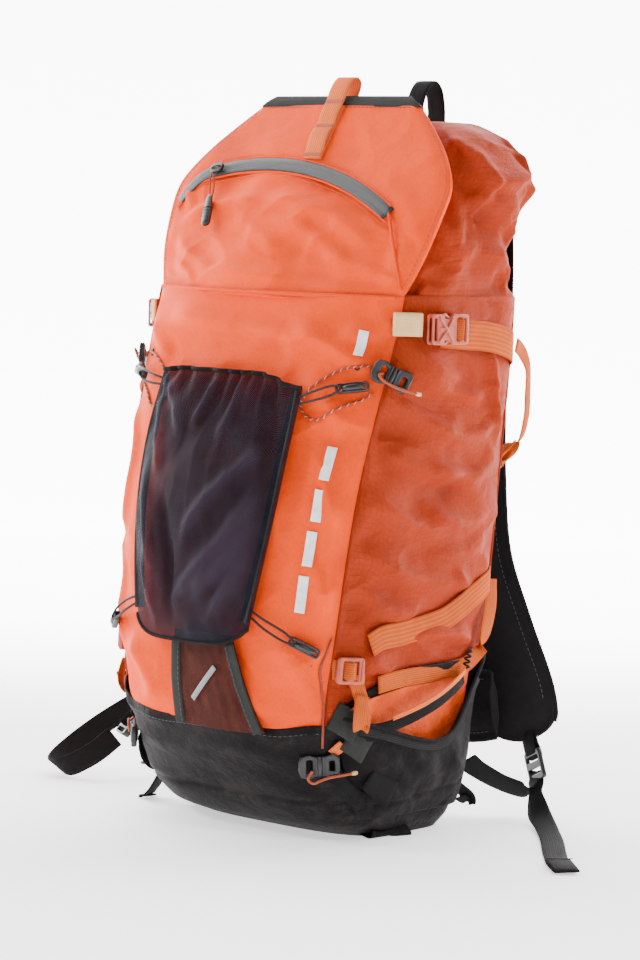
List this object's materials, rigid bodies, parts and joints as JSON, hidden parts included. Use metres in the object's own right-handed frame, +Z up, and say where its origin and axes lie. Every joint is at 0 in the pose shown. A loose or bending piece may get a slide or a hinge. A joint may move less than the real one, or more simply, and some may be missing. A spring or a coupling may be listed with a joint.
{
  "type": "travel backpack",
  "caption": "Tall soft alpine backpack with a roll-up collar, a zipped lid flap, a front net, side pockets, compression straps, padded shoulder straps and a folded hip belt.",
  "frame": {"origin": "centre of the flat underside of the base, on the floor the pack stands on", "axes": "+Z is up along the height of the pack, -Y is the front with the net, +Y is the side worn against the back, +X is the right side seen from the front"},
  "size_m": [0.6009, 0.3391, 0.6358],
  "materials": {
    "orange_fabric": "matt",
    "rust_fabric": "matt ripstop",
    "base_fabric": "matt coated",
    "charcoal_fabric": "matt",
    "net": "open mesh",
    "grey_trim": "matt",
    "orange_webbing": "ribbed",
    "pale_orange_webbing": "ribbed",
    "cream_webbing": "ribbed",
    "black_webbing": "ribbed",
    "black_plastic": "satin",
    "rust_plastic": "satin",
    "rust_cord": "braided",
    "padded_fabric": "matt, foam filled",
    "frame_board": "matt",
    "stay_metal": "satin"
  },
  "bodies": {
    "bag": {"base_tub": "base_fabric", "front_panel": "orange_fabric", "back_panel": "charcoal_fabric", "collar": "rust_fabric", "frame_sheet": "frame_board", "frame_stay": "stay_metal", "lumbar_pad": "padded_fabric", "helmet_net": "net", "side_panel_left": "rust_fabric", "side_panel_right": "rust_fabric", "back_pad_left": "padded_fabric", "back_pad_right": "padded_fabric", "side_pocket_left": "base_fabric", "side_pocket_right": "base_fabric", "net_hook_upper_left": "black_plastic", "net_hook_upper_right": "black_plastic", "net_hook_lower_left": "black_plastic", "net_hook_lower_right": "black_plastic", "front_cord_left": "rust_cord", "front_cord_right": "rust_cord", "tool_cord_left": "rust_cord", "tool_cord_right": "rust_cord", "tool_keeper_upper_left": "black_plastic", "tool_keeper_upper_right": "black_plastic", "tool_keeper_lower_left": "black_plastic", "tool_keeper_lower_right": "black_plastic", "strap_tab_left": "cream_webbing", "strap_tab_right": "cream_webbing", "buckle_socket_left": "rust_plastic", "buckle_socket_right": "rust_plastic", "upper_strap_left": "orange_webbing", "upper_strap_right": "orange_webbing", "lower_strap_left": "orange_webbing", "lower_strap_right": "orange_webbing", "shoulder_webbing_left": "black_webbing", "shoulder_webbing_right": "black_webbing"},
    "lid": {"lid_flap": "orange_fabric", "lid_edge_strip": "grey_trim", "daisy_chain": "pale_orange_webbing", "lid_zip": "grey_trim"},
    "zip_slider": {"zip_slider": "black_plastic"},
    "zip_pull": {"zip_pull": "black_plastic"},
    "haul_loop": {"haul_loop": "black_webbing"},
    "buckle_plug_right": {"buckle_plug_right": "rust_plastic"},
    "buckle_plug_left": {"buckle_plug_left": "rust_plastic"},
    "strap_adjuster_right": {"strap_adjuster_right": "rust_plastic"},
    "strap_adjuster_left": {"strap_adjuster_left": "rust_plastic"},
    "shoulder_right": {"shoulder_strap_right": "padded_fabric", "shoulder_adjuster_right": "black_plastic"},
    "shoulder_left": {"shoulder_strap_left": "padded_fabric", "shoulder_adjuster_left": "black_plastic"},
    "sternum_right": {"sternum_strap_right": "black_webbing", "sternum_buckle_plug": "black_plastic"},
    "sternum_left": {"sternum_strap_left": "black_webbing", "sternum_buckle_socket": "black_plastic"},
    "hip_right": {"hip_fin_right": "padded_fabric", "hip_buckle_socket": "black_plastic"},
    "hip_left": {"hip_fin_left": "padded_fabric", "hip_webbing_left": "black_webbing", "hip_buckle_plug": "black_plastic"}
  },
  "joints": [
    {"name": "lid_hinge", "type": "hinge", "parent": "bag", "child": "lid", "pos_m": [0, -0.0735, 0.449], "axis": [1, 0, 0], "range_deg": [0, 150]},
    {"name": "zip_travel", "type": "hinge", "parent": "lid", "child": "zip_slider", "pos_m": [-0.0469, -0.10365, 0.29221], "axis": [-0.0327, -0.9427, 0.3321], "range_deg": [-37, 0]},
    {"name": "zip_pull_swing", "type": "hinge", "parent": "zip_slider", "child": "zip_pull", "pos_m": [-0.1045, -0.01332, 0.54743], "axis": [-0.9135, -0.2155, -0.3449], "range_deg": [0, 110]},
    {"name": "haul_loop_swing", "type": "hinge", "parent": "bag", "child": "haul_loop", "pos_m": [0, 0.1168, 0.5005], "axis": [1, 0, 0], "range_deg": [-75, 0]},
    {"name": "buckle_plug_right_slide", "type": "slide", "parent": "bag", "child": "buckle_plug_right", "axis": [0.1145, 0.9934, 0], "range_m": [0, 0.02]},
    {"name": "buckle_plug_left_slide", "type": "slide", "parent": "bag", "child": "buckle_plug_left", "axis": [-0.1145, 0.9934, 0], "range_m": [0, 0.02]},
    {"name": "strap_adjuster_right_tilt", "type": "hinge", "parent": "bag", "child": "strap_adjuster_right", "pos_m": [0.12357, -0.09031, 0.15], "axis": [0, 0, -1], "range_deg": [0, 35]},
    {"name": "strap_adjuster_left_tilt", "type": "hinge", "parent": "bag", "child": "strap_adjuster_left", "pos_m": [-0.12357, -0.09031, 0.15], "axis": [0, 0, 1], "range_deg": [0, 35]},
    {"name": "shoulder_right_swing", "type": "hinge", "parent": "bag", "child": "shoulder_right", "pos_m": [0.045, 0.115, 0.5], "axis": [1, 0, 0], "range_deg": [0, 35], "deforming": ["shoulder_webbing_right"]},
    {"name": "shoulder_left_swing", "type": "hinge", "parent": "bag", "child": "shoulder_left", "pos_m": [-0.045, 0.115, 0.5], "axis": [1, 0, 0], "range_deg": [0, 35], "deforming": ["shoulder_webbing_left"]},
    {"name": "sternum_right_slide", "type": "slide", "parent": "shoulder_right", "child": "sternum_right", "axis": [0, 0, 1], "range_m": [-0.03, 0.03]},
    {"name": "sternum_left_slide", "type": "slide", "parent": "shoulder_left", "child": "sternum_left", "axis": [0, 0, 1], "range_m": [-0.03, 0.03]},
    {"name": "hip_right_swing", "type": "hinge", "parent": "bag", "child": "hip_right", "pos_m": [0.112, 0.1345, 0.098], "axis": [0, 0, 1], "range_deg": [-6, 0]},
    {"name": "hip_left_swing", "type": "hinge", "parent": "bag", "child": "hip_left", "pos_m": [-0.112, 0.1345, 0.098], "axis": [0, 0, 1], "range_deg": [-15, 25]}
  ]
}
